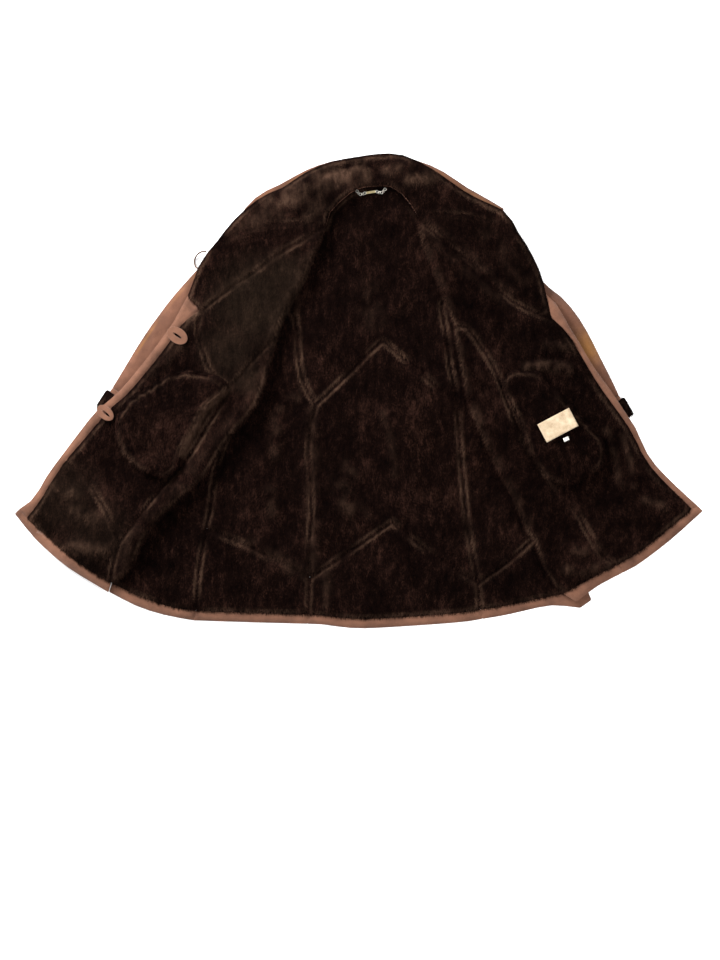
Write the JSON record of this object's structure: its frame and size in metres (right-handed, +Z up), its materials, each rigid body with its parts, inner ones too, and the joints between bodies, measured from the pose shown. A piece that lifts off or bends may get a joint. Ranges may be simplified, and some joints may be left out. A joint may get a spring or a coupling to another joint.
{
  "type": "shearling coat",
  "caption": "Shearling coat lying open on its back, dark wool side up, fronts folded out over the sleeves, suede bindings, pocket bags, hanger chain and blank label",
  "frame": {"origin": "bottom centre of the coat as it lies, on the surface it rests on", "axes": "+X across the coat towards the front edge that bears the buttons, +Y from the hem to the collar, +Z up"},
  "size_m": [1.4216, 0.9792, 0.0503],
  "materials": {
    "wool": "clipped dark brown sheep's wool",
    "suede": "mid brown suede, worn",
    "label": "beige satin, blank",
    "tag": "white woven tape, blank",
    "cord": "brown cord",
    "silver": "worn plated links",
    "brass": "brass bar",
    "horn": "dark brown button"
  },
  "bodies": {
    "root": {"back_centre": "wool", "back_hem_centre": "wool", "back_hem_left": "wool", "back_hem_right": "wool", "back_side_left": "wool", "back_side_right": "wool", "back_yoke": "wool", "button_loop": "cord", "button_lower": "horn", "button_upper": "horn", "buttonhole_lower": "suede", "buttonhole_upper": "suede", "collar": "wool", "cuff_left": "wool", "cuff_right": "wool", "cuff_tab_left": "suede", "cuff_tab_right": "suede", "front_band_left": "suede", "front_band_right": "suede", "front_chest_left": "wool", "front_corner_left": "wool", "front_fold_left": "wool", "front_fold_right": "wool", "front_main_left": "wool", "front_main_right": "wool", "front_side_left": "wool", "hanger_bar": "brass", "hanger_chain_left": "silver", "hanger_chain_right": "silver", "hem_band_back_centre": "suede", "hem_band_back_left": "suede", "hem_band_back_right": "suede", "hem_band_front_left": "suede", "hem_band_front_right": "suede", "hem_band_front_side_left": "suede", "hem_band_side_right": "suede", "label": "label", "lapel_left": "wool", "lapel_right": "wool", "pleat_left": "wool", "pleat_right": "wool", "pocket_left_top": "wool", "pocket_left_under": "wool", "pocket_right_top": "wool", "pocket_right_under": "wool", "size_tag": "tag", "sleeve_left": "suede", "sleeve_right": "suede", "under_collar": "suede"}
  },
  "joints": []
}
